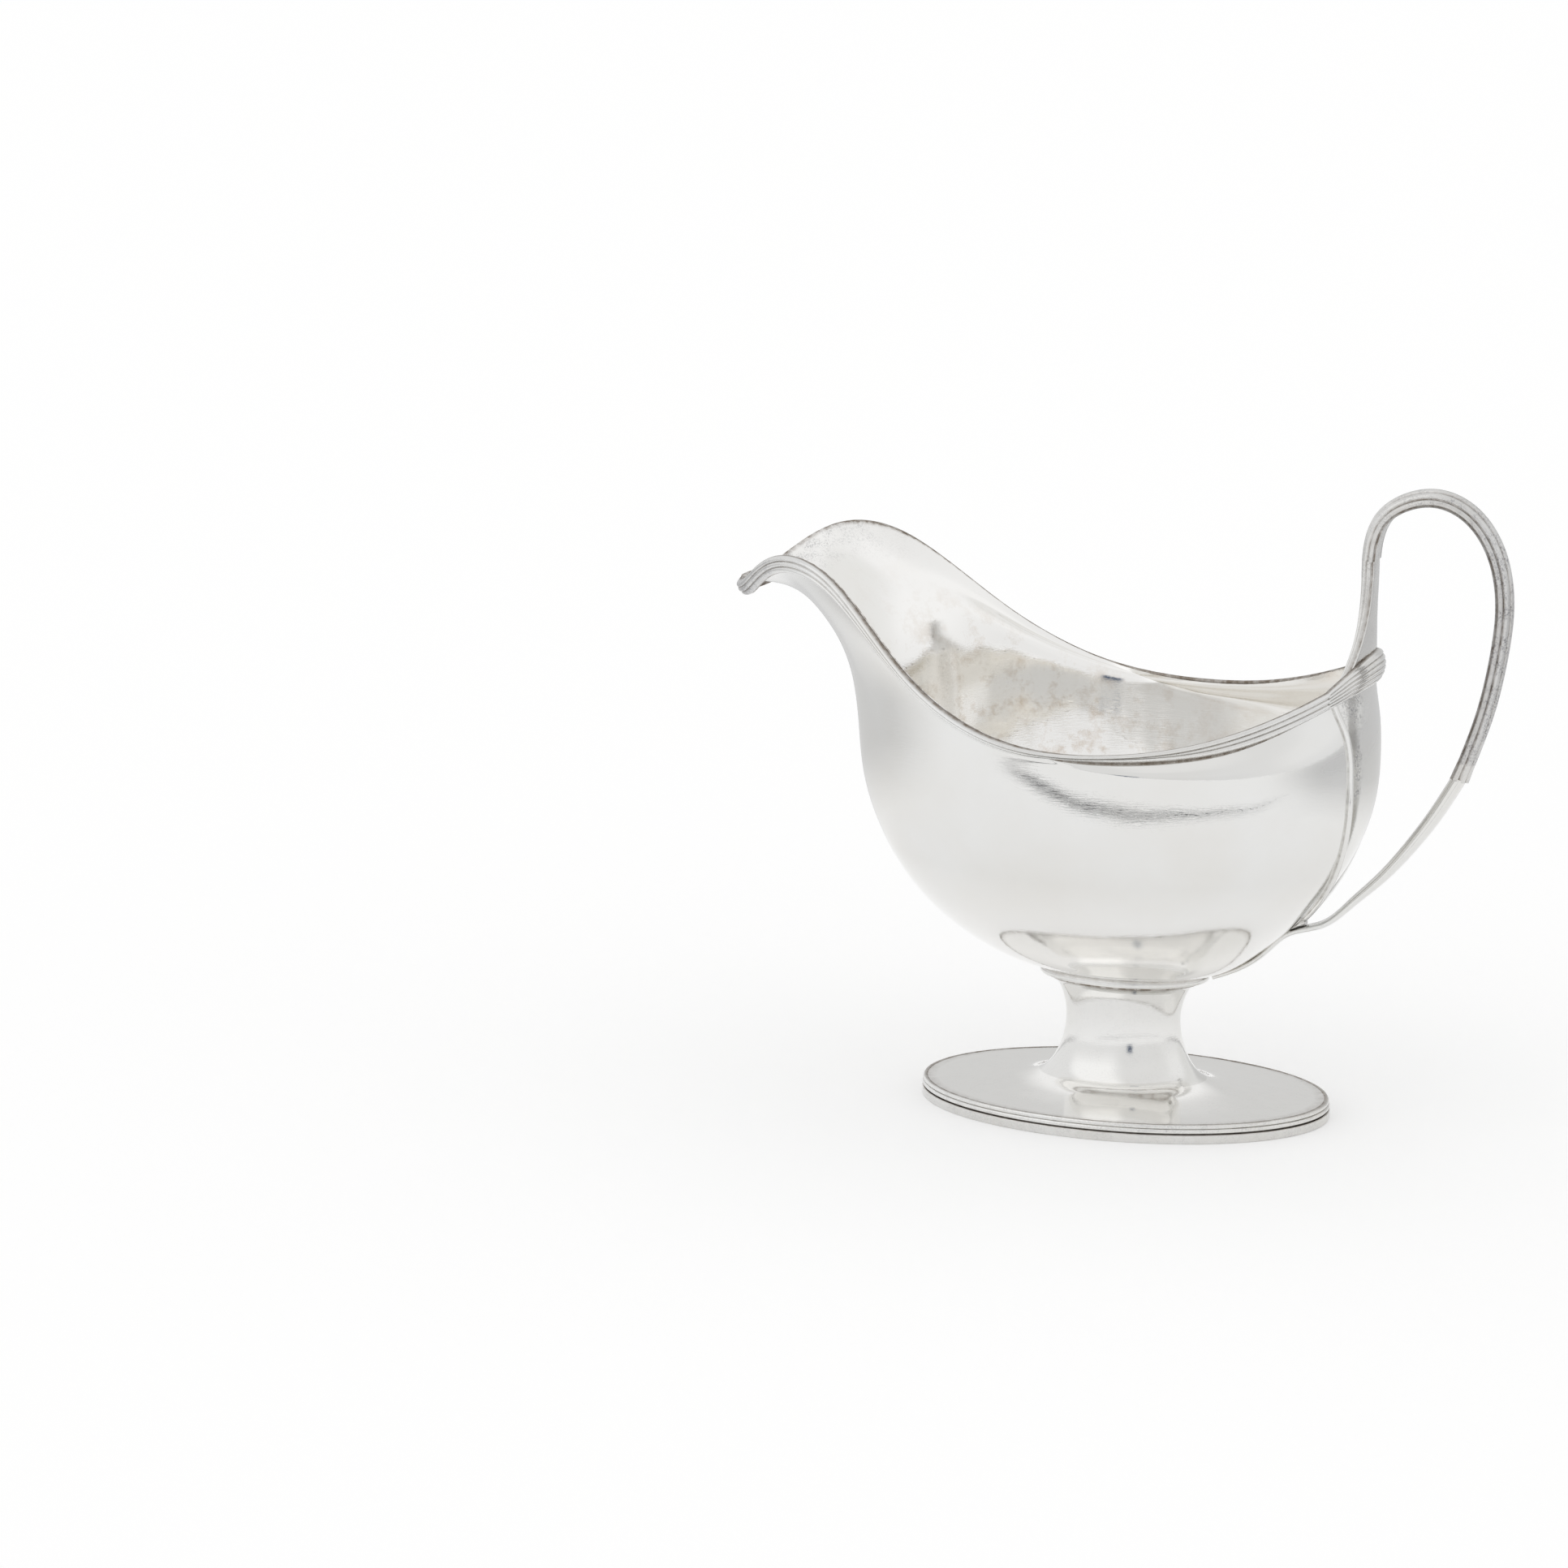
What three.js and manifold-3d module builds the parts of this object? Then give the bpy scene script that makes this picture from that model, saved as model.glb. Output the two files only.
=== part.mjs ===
// A silver sauce boat: an oval bowl with a high lip, a reeded rim, a loop handle and an oval pedestal foot.
// Millimetres, +Z up, the lip points along -X and the handle along +X.
import * as THREE from "three";
import { mergeVertices } from "three/addons/utils/BufferGeometryUtils.js";
import Module from "manifold-3d";

const wasm = await Module();
wasm.setup();

// ---- driving dimensions ----
const GAP = 0.3; // clearance between neighbouring pieces
const SHEET = 1.2; // thickness of the raised silver sheet
const OVAL = 0.63; // width of the foot and stem over their length

// The rim from the tip of the lip to the middle of the back, at equal steps of the girth angle: x, half width, z.
const RIM = [
  [-112.4, 0, 145],
  [-107.2, 13.3, 147.1],
  [-94.4, 26.6, 156],
  [-74.1, 37.3, 152.2],
  [-49.3, 51, 130.7],
  [-21.7, 57.3, 115.7],
  [6.4, 52.8, 112.3],
  [31.7, 42.8, 115.4],
  [52.3, 29.4, 122.6],
  [64.9, 15, 129],
  [69.3, 0, 131],
];
// Ovals of the bowl below the rim: x at the front, x at the back, half width, z.
const BODY_OVALS = [
  [-24.5, 26.5, 15.8, 40.2],
  [-46.8, 42.8, 31, 50.4],
  [-63.9, 59, 44.5, 67.5],
  [-74, 69.4, 52.6, 90],
  [-76.2, 70.8, 55.6, 107],
];
const BODY_BOTTOM = 38.8;
const LIP_REACH = 25; // how far the lip rolls out over its throat
const LIP_CROWN = 3.5; // how much the throat stands above the tip of the lip
const LIP_ANGLE = 63; // girth angle where the roll of the lip has died away
const THROAT_DROP = 0.35; // pull of the wall's top, as a share of its rise above the widest oval
const SHOULDER_RISE = 0.48; // pull of the widest oval, as a share of the same rise

const RIM_MOULD = { height: 4.5, depth: 1.5, reeds: 3 };
const BAND = { height: 8, depth: 2.5, reeds: 3, above: 3.8, angle: 26 };
const PANEL = { top: 134, shoulder: 107, halfWidth: 18.3, tip: 57.5, flare: 0.08 };
const WIRE = { radius: 0.85, top: 121, sides: 6 };
const SEAT = 0.15; // extra clearance of a strip whose flat facets lie along the curved wall
const REEDED_LEAN = 0.4; // keeps the end faces of reeded strips free of slivers

const STRAP = { width: 9.5, depth: 4.5, reeds: 3 };
const STRAP_END = { width: 9, depth: 4.9, reeds: 3 };
const ROOT = { angle: 20, top: 160, face: 69.3, sheet: 1.7 };
const LOOP_PATH = [
  [67.4, 160.3],
  [68, 165.3],
  [70.5, 171.5],
  [76.5, 176.2],
  [85, 177.9],
  [93.2, 174.9],
  [99.2, 168.4],
  [102.8, 159.9],
  [104.2, 149],
  [103.1, 136],
  [100, 120.5],
  [95.2, 105.8],
];
const STEP_PATH = [
  [95.05, 105.4],
  [93.5, 101.4],
];
const TAIL_PATH = [
  [93.3, 101],
  [87.65, 91.2],
  [81.05, 81.6],
  [72.8, 71.6],
  [64.8, 63.8],
  [56.8, 57],
];
const TAIL_KEEL = [47, 40, 33, 27]; // x of the points where the tail lies along the keel
const TAIL = { width: 7.5, endWidth: 5, depth: 4.2, endDepth: 1.7, sides: 10 };
const SADDLE = { width: 4.4, from: 50.6, to: 54.6, steps: 4 };
const VENT_RADIUS = 0.5;

// Outside of the pedestal from the top of the stem to the edge of the foot: half length, z.
const STEM = [
  [22.8, 37.4],
  [19.6, 35.6],
  [17.9, 33],
  [16.6, 28.3],
  [16.5, 23.5],
  [17.4, 18.7],
  [19.4, 13.8],
  [22.5, 10],
  [28, 7.6],
  [36, 6.5],
  [46, 5.8],
  [56.9, 5.35],
];
const FOOT_REACH = 58.6; // half length of the foot at its bottom band
const FOOT_X = 0.9; // the foot's edge stands this far behind the middle of the bowl's keel

// ---- materials ----
function silver(colour, roughness) {
  return new THREE.MeshStandardMaterial({ color: colour, metalness: 1, roughness });
}
const SILVER = silver(0xdedbd6, 0.16);
const WORN_SILVER = silver(0xc9c6c1, 0.3);

// ---- helpers ----
// Skins rings of points that all have the same count. Open stacks get a fan at each end, whose centre
// leans from the middle of the ring towards the seam between its last and first points.
function solidGeometry(rings, closed, lean = 0) {
  const count = rings[0].length;
  const points = rings.flat();
  const faces = [];
  const steps = closed ? rings.length : rings.length - 1;
  for (let i = 0; i < steps; i++) {
    const next = (i + 1) % rings.length;
    for (let j = 0; j < count; j++) {
      const k = (j + 1) % count;
      const a = i * count + j;
      const b = i * count + k;
      const c = next * count + k;
      const d = next * count + j;
      faces.push(a, b, c, a, c, d);
    }
  }
  if (!closed) {
    for (const [ring, flip] of [[0, true], [rings.length - 1, false]]) {
      const middle = new THREE.Vector3();
      rings[ring].forEach((p) => middle.addScaledVector(p, 1 / count));
      middle.lerp(rings[ring][0].clone().add(rings[ring][count - 1]).multiplyScalar(0.5), lean);
      points.push(middle);
      for (let j = 0; j < count; j++) {
        const a = ring * count + j;
        const b = ring * count + ((j + 1) % count);
        faces.push(...(flip ? [points.length - 1, b, a] : [points.length - 1, a, b]));
      }
    }
  }
  const geometry = new THREE.BufferGeometry().setFromPoints(points);
  geometry.setIndex(volumeOf(points, faces) < 0 ? faces.reverse() : faces);
  return mergeVertices(geometry, 1e-4);
}

function volumeOf(points, faces) {
  let sum = 0;
  for (let i = 0; i < faces.length; i += 3) {
    const [a, b, c] = [points[faces[i]], points[faces[i + 1]], points[faces[i + 2]]];
    sum += a.dot(new THREE.Vector3().crossVectors(b, c));
  }
  return sum / 6;
}

function toManifold(geometry) {
  const bare = geometry.clone();
  bare.deleteAttribute("normal");
  bare.deleteAttribute("uv");
  const merged = mergeVertices(bare, 1e-4);
  return new wasm.Manifold(
    new wasm.Mesh({
      numProp: 3,
      vertProperties: merged.attributes.position.array,
      triVerts: new Uint32Array(merged.index.array),
    }),
  );
}

function fromManifold(solid) {
  const mesh = solid.getMesh();
  return new THREE.BufferGeometry()
    .setAttribute("position", new THREE.BufferAttribute(mesh.vertProperties, 3))
    .setIndex(new THREE.BufferAttribute(mesh.triVerts, 1));
}

// Runs from 0 to 1 with no bend at either end.
function ease(t) {
  const k = Math.min(1, Math.max(0, t));
  return k ** 3 * (k * (6 * k - 15) + 10);
}

// A reeded strip in section: [height along the wall, depth away from it], closed, flat at the back.
function reededSection({ height, depth, reeds }, pointsPerReed = 2) {
  const bevel = 0.06 * height;
  const section = [[bevel, 0]];
  for (let r = 0; r < reeds; r++) {
    for (let i = 0; i <= pointsPerReed; i++) {
      if (r > 0 && i === 0) continue;
      const along = (r + i / pointsPerReed) / reeds;
      const bulge = Math.sin((Math.PI * i) / pointsPerReed);
      section.push([along * height, depth * (0.6 + 0.4 * bulge)]);
    }
  }
  section.push([height - bevel, 0]);
  return section;
}

// ---- the bowl's wall ----
const rimCurve = (() => {
  const near = RIM.map(([x, w, z]) => new THREE.Vector3(x, -w, z));
  const far = RIM.slice(1, -1).reverse().map(([x, w, z]) => new THREE.Vector3(x, w, z));
  return new THREE.CatmullRomCurve3([...near, ...far], true, "catmullrom", 0.5);
})();

// Girth angle in degrees: 0 at the tip of the lip, 90 at the near side, 180 at the back.
function rimPoint(angle) {
  return rimCurve.getPoint((((angle % 360) + 360) % 360) / 360);
}

function ovalPoint([front, back, half, z], angle) {
  const a = THREE.MathUtils.degToRad(angle);
  const middle = (front + back) / 2;
  const reach = (back - front) / 2;
  return new THREE.Vector3(middle - reach * Math.cos(a), -half * Math.sin(a), z);
}

function ribCurve(angle) {
  const ovals = BODY_OVALS.map((o) => ovalPoint(o, angle));
  const low = ovals[ovals.length - 1];
  const rim = rimPoint(angle);
  const rise = rim.z - low.z;
  const ahead = rimPoint(angle + 1).sub(rimPoint(angle - 1)).setZ(0).normalize();
  const inward = new THREE.Vector3(-ahead.y, ahead.x, 0);
  if (inward.dot(new THREE.Vector3(-20, 0, 0).sub(rim).setZ(0)) < 0) inward.negate();
  const off = Math.min(angle % 360, 360 - (angle % 360));
  const roll = ease(1 - off / LIP_ANGLE);
  const throat = rim.clone().addScaledVector(inward, LIP_REACH * roll + 0.6);
  throat.z += LIP_CROWN * roll - THROAT_DROP * rise * (1 - roll);
  const shoulder = low.clone();
  shoulder.z += SHOULDER_RISE * rise;
  const flare = new THREE.CubicBezierCurve3(low, shoulder, throat, rim);
  const upper = [0.3, 0.55, 0.78].map((t) => flare.getPoint(t));
  const bottom = new THREE.Vector3(0, 0, BODY_BOTTOM);
  return new THREE.CatmullRomCurve3([bottom, ...ovals, ...upper, rim], false, "centripetal");
}

const ribs = new Map();
function ribOf(angle) {
  const key = angle.toFixed(4);
  if (!ribs.has(key)) ribs.set(key, ribCurve(angle));
  return ribs.get(key);
}

function wallPoint(angle, t) {
  return ribOf(angle).getPoint(t);
}

function wallNormal(angle, t) {
  const along = wallPoint(angle, Math.min(1, t + 0.004)).sub(wallPoint(angle, t - 0.004));
  const around = wallPoint(angle + 0.5, t).sub(wallPoint(angle - 0.5, t));
  return around.cross(along).normalize();
}

// The wall at a distance below the rim, measured along the wall, and a distance outside it.
function nearRim(angle, below, out) {
  let t = 1;
  let left = below;
  let last = wallPoint(angle, 1);
  const step = 0.004;
  while (left > 0 && t > 0.5) {
    const next = wallPoint(angle, t - step);
    const length = next.distanceTo(last);
    if (length >= left) {
      t -= (step * left) / length;
      left = 0;
    } else {
      left -= length;
      t -= step;
      last = next;
    }
  }
  return wallPoint(angle, t).addScaledVector(wallNormal(angle, t), out);
}

function bowlBlank() {
  const around = 72;
  const levels = [0.06, 0.12, 0.18, 0.24, 0.3, 0.36, 0.43, 0.5, 0.57, 0.64, 0.72, 0.8, 0.87, 0.94, 1];
  const angles = Array.from({ length: around }, (_, i) => (360 * i) / around);
  const outer = levels.map((t) => angles.map((a) => wallPoint(a, t)));
  const inner = levels.map((t) =>
    angles.map((a) => wallPoint(a, t).addScaledVector(wallNormal(a, t), -SHEET)),
  );
  return solidGeometry([...outer, ...inner.reverse()], false);
}

// Half width of the back panel at a height.
function panelHalfWidth(z) {
  const t = (z - PANEL.tip) / (PANEL.shoulder - PANEL.tip);
  const flare = PANEL.flare * Math.max(0, z - PANEL.shoulder);
  return PANEL.halfWidth * Math.sin((Math.PI / 2) * Math.min(1, Math.max(0, t))) ** 0.85 + flare;
}

function panelCutter(margin) {
  const outline = new THREE.Shape();
  const steps = 14;
  const at = (i) => PANEL.tip + ((PANEL.top - PANEL.tip) * i) / steps;
  outline.moveTo(0, PANEL.tip - 2 * margin);
  for (let i = 1; i <= steps; i++) outline.lineTo(panelHalfWidth(at(i)) + margin, at(i));
  outline.lineTo(panelHalfWidth(PANEL.top) + margin, PANEL.top + 5);
  outline.lineTo(-panelHalfWidth(PANEL.top) - margin, PANEL.top + 5);
  for (let i = steps; i >= 1; i--) outline.lineTo(-panelHalfWidth(at(i)) - margin, at(i));
  const geometry = new THREE.ExtrudeGeometry(outline, { depth: 60, bevelEnabled: false, steps: 1 });
  // The outline's x becomes y and its y becomes z.
  const turn = new THREE.Matrix4().makeBasis(
    new THREE.Vector3(0, 1, 0),
    new THREE.Vector3(0, 0, 1),
    new THREE.Vector3(1, 0, 0),
  );
  return geometry.applyMatrix4(turn.setPosition(30, 0, 0));
}

// The girth angle and rib position where the back wall passes a half width y and a height z.
function backWallAt(y, z, side) {
  let low = 120;
  let high = 180;
  const rowAt = (angle) => {
    let from = 0.3;
    let to = 1;
    for (let i = 0; i < 30; i++) {
      const middle = (from + to) / 2;
      if (wallPoint(angle, middle).z < z) from = middle;
      else to = middle;
    }
    return from;
  };
  for (let i = 0; i < 30; i++) {
    const middle = (low + high) / 2;
    if (-wallPoint(middle, rowAt(middle)).y > y) low = middle;
    else high = middle;
  }
  const angle = side > 0 ? 360 - low : low;
  return { angle, t: rowAt(angle) };
}

// ---- swept pieces ----
function rimMoulding(side) {
  const section = reededSection(RIM_MOULD);
  const rings = [];
  const from = 0.35;
  const to = 180 - BAND.angle - 0.4;
  const steps = 46;
  for (let i = 0; i <= steps; i++) {
    const angle = from + ((to - from) * i) / steps;
    rings.push(section.map(([d, o]) => nearRim(side > 0 ? 360 - angle : angle, d, GAP + SEAT + o)));
  }
  return solidGeometry(rings, false, REEDED_LEAN);
}

// Outside face of the handle's root: from -1 to 1 across it, and from 0 at the rim to 1 at the strap.
function rootFace(across, rise) {
  const foot = rimPoint(180 - ROOT.angle * across);
  const sweep = 1 - (1 - rise) ** 2.4;
  const x = foot.x + (ROOT.face - 0.5 * across * across - foot.x) * sweep;
  const y = foot.y + (-across * (STRAP.width / 2) - foot.y) * sweep;
  const z = foot.z + 0.5 + (ROOT.top - foot.z - 0.5) * rise;
  return new THREE.Vector3(x, y, z);
}

function handleRoot() {
  const rings = [];
  const rows = 14;
  const spots = [-1, -0.6, -0.2, 0.2, 0.6, 1];
  for (let i = 0; i <= rows; i++) {
    const rise = i / rows;
    const depth = ROOT.sheet + (STRAP.depth - ROOT.sheet) * rise;
    const outer = spots.map((s) => rootFace(s, rise));
    const inner = outer.map((p) => p.clone().add(new THREE.Vector3(-depth, 0, 0))).reverse();
    rings.push([...outer, ...inner]);
  }
  return solidGeometry(rings, false);
}

// The band hugs the wall below the rim and stands straight up behind the root above it.
function backBand() {
  const section = reededSection(BAND);
  const rings = [];
  const steps = 16;
  for (let i = 0; i <= steps; i++) {
    const angle = 180 - BAND.angle + (2 * BAND.angle * i) / steps;
    const above = BAND.above * Math.cos((Math.PI / 2) * (2 * (i / steps) - 1) * 0.8);
    rings.push(
      section.map(([d, o]) => {
        const below = d - above;
        const p = nearRim(angle, Math.max(0, below), GAP + SEAT + o);
        p.z -= Math.min(0, below);
        return p;
      }),
    );
  }
  return solidGeometry(rings, false, REEDED_LEAN);
}

// A wire over the seam between the bowl and one edge of the back panel.
function panelWire(side) {
  const rings = [];
  const steps = 24;
  const to = PANEL.tip + 4.5;
  const centres = [];
  for (let i = 0; i <= steps; i++) {
    const z = WIRE.top + ((to - WIRE.top) * i) / steps;
    const { angle, t } = backWallAt(panelHalfWidth(z), z, side);
    const out = wallNormal(angle, t);
    centres.push({ p: wallPoint(angle, t).addScaledVector(out, GAP + WIRE.radius), out });
  }
  centres.forEach(({ p, out }, i) => {
    const before = centres[Math.max(0, i - 1)].p;
    const after = centres[Math.min(steps, i + 1)].p;
    const across = after.clone().sub(before).cross(out).normalize();
    const ring = [];
    for (let j = 0; j < WIRE.sides; j++) {
      const a = (2 * Math.PI * j) / WIRE.sides;
      ring.push(
        p.clone()
          .addScaledVector(out, WIRE.radius * Math.cos(a))
          .addScaledVector(across, WIRE.radius * Math.sin(a)),
      );
    }
    rings.push(ring);
  });
  return solidGeometry(rings, false);
}

function planeCurve(path) {
  return new THREE.CatmullRomCurve3(path.map(([x, z]) => new THREE.Vector3(x, 0, z)), false, "centripetal");
}

// The side of a path that faces away from the bowl.
function outward(curve, t) {
  const along = curve.getTangentAt(t);
  return new THREE.Vector3(-along.z, 0, along.x);
}

// Sweeps a section along a curve in the XZ plane. sectionAt(t) gives [across, outward] pairs.
function sweepInPlane(curve, steps, sectionAt) {
  const rings = [];
  for (let i = 0; i <= steps; i++) {
    const t = i / steps;
    const out = outward(curve, t);
    rings.push(
      sectionAt(t).map(([across, o]) => {
        const p = curve.getPointAt(t).addScaledVector(out, o);
        p.y = across;
        return p;
      }),
    );
  }
  return solidGeometry(rings, false, REEDED_LEAN);
}

// Half-round reeds over a flat inside face.
function strapSection({ width, depth, reeds }) {
  const reeded = reededSection({ height: width, depth: 1, reeds });
  return reeded.map(([a, o]) => {
    const round = Math.sqrt(Math.max(0.2, 1 - (2 * a / width - 1) ** 2));
    return [a - width / 2, depth * (o * round - 0.5)];
  });
}

function lensSection(width, depth) {
  const section = [];
  for (let i = 0; i < TAIL.sides; i++) {
    const a = (2 * Math.PI * i) / TAIL.sides;
    section.push([(width / 2) * Math.cos(a), (depth / 2) * Math.sin(a)]);
  }
  return section;
}

// The point under the bowl's keel line at a distance x behind the middle, moved out from the wall.
function underKeel(x, out) {
  let from = 0.02;
  let to = 0.6;
  for (let i = 0; i < 30; i++) {
    const middle = (from + to) / 2;
    if (wallPoint(180, middle).x < x) from = middle;
    else to = middle;
  }
  return wallPoint(180, from).addScaledVector(wallNormal(180, from), out);
}

function tailDepth(t) {
  return TAIL.depth + (TAIL.endDepth - TAIL.depth) * ease(1.15 * t);
}

const tailCurve = (() => {
  const hug = TAIL_KEEL.map((x) => {
    const p = underKeel(x, GAP + SEAT + TAIL.endDepth / 2);
    return [p.x, p.z];
  });
  return planeCurve([...TAIL_PATH, ...hug]);
})();

function handleTail() {
  return sweepInPlane(tailCurve, 40, (t) =>
    lensSection(TAIL.width + (TAIL.endWidth - TAIL.width) * t, tailDepth(t)),
  );
}

// The place along the tail, from 0 to 1, where its middle line passes x.
function tailPositionAt(x) {
  let from = 0;
  let to = 1;
  for (let i = 0; i < 30; i++) {
    const middle = (from + to) / 2;
    if (tailCurve.getPointAt(middle).x > x) from = middle;
    else to = middle;
  }
  return from;
}

// A wedge between the bowl and the tail, with a vent hole through it from side to side.
function handleSaddle() {
  const low = [];
  const high = [];
  for (let i = 0; i <= SADDLE.steps; i++) {
    const x = SADDLE.to + ((SADDLE.from - SADDLE.to) * i) / SADDLE.steps;
    const t = tailPositionAt(x);
    const p = tailCurve.getPointAt(t).addScaledVector(outward(tailCurve, t), -tailDepth(t) / 2 - GAP - SEAT);
    low.push(new THREE.Vector2(p.x, p.z));
    const q = underKeel(p.x - 0.8, GAP + SEAT);
    high.push(new THREE.Vector2(q.x, q.z));
  }
  const shape = new THREE.Shape([...low, ...high.reverse()]);
  const block = new THREE.ExtrudeGeometry(shape, { depth: SADDLE.width, bevelEnabled: false, steps: 1 });
  block.applyMatrix4(new THREE.Matrix4().makeRotationX(Math.PI / 2).setPosition(0, SADDLE.width / 2, 0));
  const middle = low[1].clone().add(high[high.length - 2]).multiplyScalar(0.5);
  const drill = new THREE.CylinderGeometry(VENT_RADIUS, VENT_RADIUS, SADDLE.width * 2, 12);
  drill.translate(middle.x, 0, middle.y);
  return fromManifold(toManifold(block).subtract(toManifold(drill)));
}

// An oval ring or shell from a closed outline of [half length, z] points. Wider ovals stand further back.
function ovalRing(outline, around = 48) {
  const rings = [];
  for (let i = 0; i < around; i++) {
    const a = (2 * Math.PI * i) / around;
    rings.push(
      outline.map(([r, z]) => {
        const middle = (FOOT_X * r) / FOOT_REACH;
        return new THREE.Vector3(middle + r * Math.cos(a), r * OVAL * Math.sin(a), z);
      }),
    );
  }
  return solidGeometry(rings, true);
}

function pedestal() {
  const curve = new THREE.SplineCurve(STEM.map(([r, z]) => new THREE.Vector2(r, z)));
  const outer = curve.getPoints(15);
  const inner = outer.map((p, i) => {
    const a = outer[Math.max(0, i - 1)];
    const b = outer[Math.min(outer.length - 1, i + 1)];
    const across = new THREE.Vector2(b.y - a.y, a.x - b.x).normalize();
    return p.clone().addScaledVector(across, across.x + across.y < 0 ? SHEET : -SHEET);
  });
  return ovalRing([...outer, ...inner.reverse()].map((p) => [p.x, p.y]));
}

function reedRing(outerEdge, innerEdge, bottom, top) {
  const middle = (bottom + top) / 2;
  const half = (top - bottom) / 2;
  const outline = [[innerEdge, bottom]];
  for (let i = 0; i <= 4; i++) {
    const a = -Math.PI / 2 + (Math.PI * i) / 4;
    outline.push([outerEdge - half + half * Math.cos(a), middle + half * Math.sin(a)]);
  }
  outline.push([innerEdge, top]);
  return ovalRing(outline);
}

function baseBand() {
  const [inside, top, chamfer] = [FOOT_REACH - 2.8, 2.6, 0.3];
  return ovalRing([
    [inside, 0],
    [FOOT_REACH - chamfer, 0],
    [FOOT_REACH, chamfer],
    [FOOT_REACH, top - chamfer],
    [FOOT_REACH - chamfer, top],
    [inside, top],
  ]);
}

// ---- assembly ----
const boat = new THREE.Group();

function add(name, geometry, material) {
  const bare = geometry.index ? geometry : mergeVertices(geometry, 1e-4);
  bare.computeVertexNormals();
  const mesh = new THREE.Mesh(bare, material.clone());
  mesh.name = name;
  boat.add(mesh);
  return mesh;
}

const blank = toManifold(bowlBlank());
add("bowl", fromManifold(blank.subtract(toManifold(panelCutter(GAP / 2)))), SILVER);
add("back_panel", fromManifold(blank.intersect(toManifold(panelCutter(-GAP / 2)))), SILVER);

for (const [side, word] of [[-1, "left"], [1, "right"]]) {
  add("rim_moulding_" + word, rimMoulding(side), WORN_SILVER);
  add("panel_wire_" + word, panelWire(side), SILVER);
}

add("back_band", backBand(), SILVER);
add("handle_root", handleRoot(), SILVER);
add("handle_loop", sweepInPlane(planeCurve(LOOP_PATH), 56, () => strapSection(STRAP)), WORN_SILVER);
add("handle_step", sweepInPlane(planeCurve(STEP_PATH), 2, () => strapSection(STRAP_END)), WORN_SILVER);
add("handle_tail", handleTail(), SILVER);
add("handle_saddle", handleSaddle(), SILVER);

add("foot_collar", ovalRing([[17, 37.7], [24.2, 37.7], [24.9, 38.5], [24.7, 39.1], [17, 38.1]]), SILVER);
add("pedestal", pedestal(), SILVER);
add("foot_reed_upper", reedRing(FOOT_REACH - 0.2, 57.2, 4.2, 5.3), SILVER);
add("foot_reed_lower", reedRing(FOOT_REACH, 56.1, 2.9, 3.9), SILVER);
add("base_band", baseBand(), SILVER);

const box = new THREE.Box3().setFromObject(boat, true);
boat.position.x = -(box.min.x + box.max.x) / 2;

export default boat;
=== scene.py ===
"""A silver sauce boat with a rolled lip, a reeded rim, a loop handle and an oval pedestal foot."""

import math

import bpy
import numpy as np
from mathutils import Matrix, Vector, noise


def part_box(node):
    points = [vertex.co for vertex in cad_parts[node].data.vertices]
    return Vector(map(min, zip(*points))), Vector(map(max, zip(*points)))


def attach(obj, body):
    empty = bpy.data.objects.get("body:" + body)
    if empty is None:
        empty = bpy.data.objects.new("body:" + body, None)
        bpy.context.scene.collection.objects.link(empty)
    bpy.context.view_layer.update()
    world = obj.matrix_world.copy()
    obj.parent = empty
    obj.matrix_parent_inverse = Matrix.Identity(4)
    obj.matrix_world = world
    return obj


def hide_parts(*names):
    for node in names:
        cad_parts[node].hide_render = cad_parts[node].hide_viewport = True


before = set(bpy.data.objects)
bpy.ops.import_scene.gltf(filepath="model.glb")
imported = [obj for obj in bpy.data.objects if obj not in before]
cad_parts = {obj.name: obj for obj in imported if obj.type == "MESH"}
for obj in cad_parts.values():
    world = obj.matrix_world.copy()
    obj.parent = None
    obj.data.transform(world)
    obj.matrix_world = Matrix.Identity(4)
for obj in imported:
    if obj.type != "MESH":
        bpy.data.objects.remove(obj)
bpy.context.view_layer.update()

MM = 0.001  # shapes are worked out in millimetres and become metres in make_piece

# ---- driving dimensions, in millimetres ----
OVAL = 0.63  # width of the foot and stem over their length
STEM_X = 0.9  # the stem stands a little behind the middle of the bowl's keel
SHEET = 1.0  # thickness of the raised silver sheet

# The rim from the tip of the lip to the middle of the back, at equal steps of the girth angle:
# x, half width, z.
RIM = [
    (-112.4, 0, 145),
    (-107.2, 13.3, 147.1),
    (-94.4, 26.6, 156),
    (-74.1, 37.3, 152.2),
    (-49.3, 51, 130.7),
    (-21.7, 57.3, 115.7),
    (6.4, 52.8, 112.3),
    (31.7, 42.8, 115.4),
    (52.3, 29.4, 122.6),
    (64.9, 15, 129),
    (69.3, 0, 131),
]
# Ovals of the bowl below the rim: x at the front, x at the back, half width, z.
BODY_OVALS = [
    (-24.5, 26.5, 15.8, 40.2),
    (-46.8, 42.8, 31, 50.4),
    (-63.9, 59, 44.5, 67.5),
    (-74, 69.4, 52.6, 90),
    (-76.2, 70.8, 55.6, 107),
]
BODY_BOTTOM = 38.8
LIP_REACH = 25  # how far the lip rolls out over its throat
LIP_SPREAD = 63  # and over how many degrees of girth from its tip
LIP_CROWN = 3.5  # how much the throat stands above the tip of the lip
BOWL_MIDDLE = (-20, 0, 0)  # a place well inside the rim
THROAT_INSET = 0.6
THROAT_DROP = 0.35  # away from the lip, as a share of the upper wall's height
SHOULDER_RISE = 0.48  # how far the upper wall goes straight up, as a share of its height

MOULD = {"height": 4.8, "depth": 1.5, "proud": 0.5}
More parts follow.
